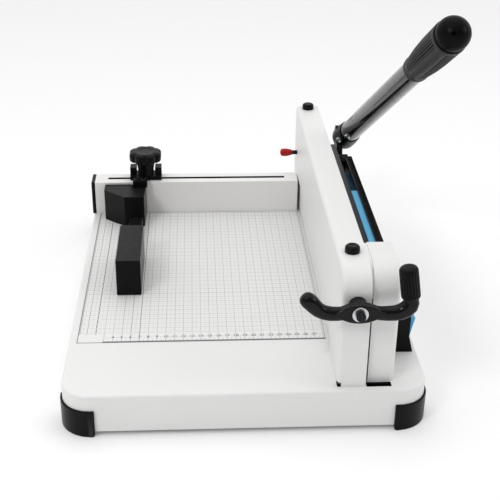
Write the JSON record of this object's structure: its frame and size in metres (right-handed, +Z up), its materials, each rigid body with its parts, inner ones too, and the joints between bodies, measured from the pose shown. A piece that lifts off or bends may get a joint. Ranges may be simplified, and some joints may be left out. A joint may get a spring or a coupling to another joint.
{
  "type": "stack paper cutter",
  "caption": "Bench stack paper cutter: a rear-hung lever draws a straight knife down beside a cranked clamp, with a ruled table, rear fence, sliding side guide and corner feet.",
  "frame": {"origin": "bottom centre of the whole box, on the desk plane under the feet", "axes": "+Z up from the desk, +Y from the operator towards the fence along the cut, +X from the table towards the knife side"},
  "size_m": [0.4312, 0.54, 0.4115],
  "materials": {
    "white_paint": "smooth powder coat",
    "printed_sheet": "matt printed film",
    "pale_grey": "satin paint",
    "black_plastic": "moulded, lightly textured",
    "gloss_black": "gloss enamel",
    "rubber_black": "matt",
    "zinc": "bright zinc plate",
    "steel": "ground",
    "blue_plastic": "satin",
    "red_plastic": "gloss",
    "stick_ivory": "matt"
  },
  "bodies": {
    "frame": {"base_shell": "white_paint", "bottom_plate": "pale_grey", "foot_front_left": "black_plastic", "foot_front_right": "black_plastic", "foot_rear_left": "black_plastic", "foot_rear_right": "black_plastic", "foot_screws": "zinc", "table_sheet": "printed_sheet", "cutting_stick": "stick_ivory", "fence": "pale_grey", "fence_cap": "black_plastic", "fence_screws": "zinc", "clamp_housing": "white_paint", "knife_post": "white_paint", "housing_plugs": "black_plastic", "tower_screws": "zinc", "pivot_block": "gloss_black", "pivot_bolt": "zinc", "guide_studs": "steel", "stud_nuts": "zinc", "slide_liner": "blue_plastic", "guide_plate": "gloss_black", "stop_bracket": "black_plastic", "stop_buffer": "blue_plastic", "front_bush": "gloss_black", "rear_bush": "gloss_black", "pin_bush": "zinc"},
    "lever": {"lever_rocker": "gloss_black", "lever_roller": "steel", "socket_screws": "zinc", "handle_tube": "gloss_black", "handle_grip": "rubber_black"},
    "knife": {"knife_bar": "gloss_black", "knife_blade": "steel", "blade_screws": "zinc"},
    "crank": {"crank_shaft": "steel", "front_pinion": "steel", "rear_pinion": "steel", "crank_lever": "gloss_black", "crank_washer": "zinc", "crank_bolt": "gloss_black", "crank_grip": "rubber_black"},
    "press": {"press_plate": "white_paint", "front_rack": "steel", "rear_rack": "steel"},
    "guide": {"guide_block": "black_plastic", "guide_bar": "black_plastic", "guide_stop": "black_plastic", "guide_saddle": "black_plastic", "guide_stud": "zinc", "guide_screws": "zinc"},
    "guide_knob": {"guide_knob": "black_plastic"},
    "pin": {"pin_rod": "steel", "pin_knob": "red_plastic"}
  },
  "joints": [
    {"name": "lever_hinge", "type": "hinge", "parent": "frame", "child": "lever", "pos_m": [0.1269, 0.1575, 0.142], "axis": [1, 0, 0], "range_deg": [0, 44]},
    {"name": "knife_slide", "type": "slide", "parent": "frame", "child": "knife", "axis": [0, 0.494, -0.8695], "range_m": [0, 0.05061]},
    {"name": "crank_turn", "type": "hinge", "parent": "frame", "child": "crank", "pos_m": [0.0944, -0.2565, 0.15], "axis": [0, 1, 0], "range_deg": [-39.7, 187.1]},
    {"name": "press_slide", "type": "slide", "parent": "frame", "child": "press", "axis": [0, 0, 1], "range_m": [-0.00519, 0.02449]},
    {"name": "guide_slide", "type": "slide", "parent": "frame", "child": "guide", "axis": [1, 0, 0], "range_m": [-0.014, 0.15]},
    {"name": "guide_knob_turn", "type": "hinge", "parent": "guide", "child": "guide_knob", "pos_m": [-0.1381, 0.2113, 0.12], "axis": [0, 0, 1], "continuous": true},
    {"name": "pin_slide", "type": "slide", "parent": "frame", "child": "pin", "axis": [1, 0, 0], "range_m": [0, 0.007]}
  ],
  "couplings": [
    {"joint": "knife_slide", "follows": "lever_hinge", "m_per_rad": 0.065897},
    {"joint": "crank_turn", "follows": "press_slide", "rad_per_m": 133.33}
  ]
}
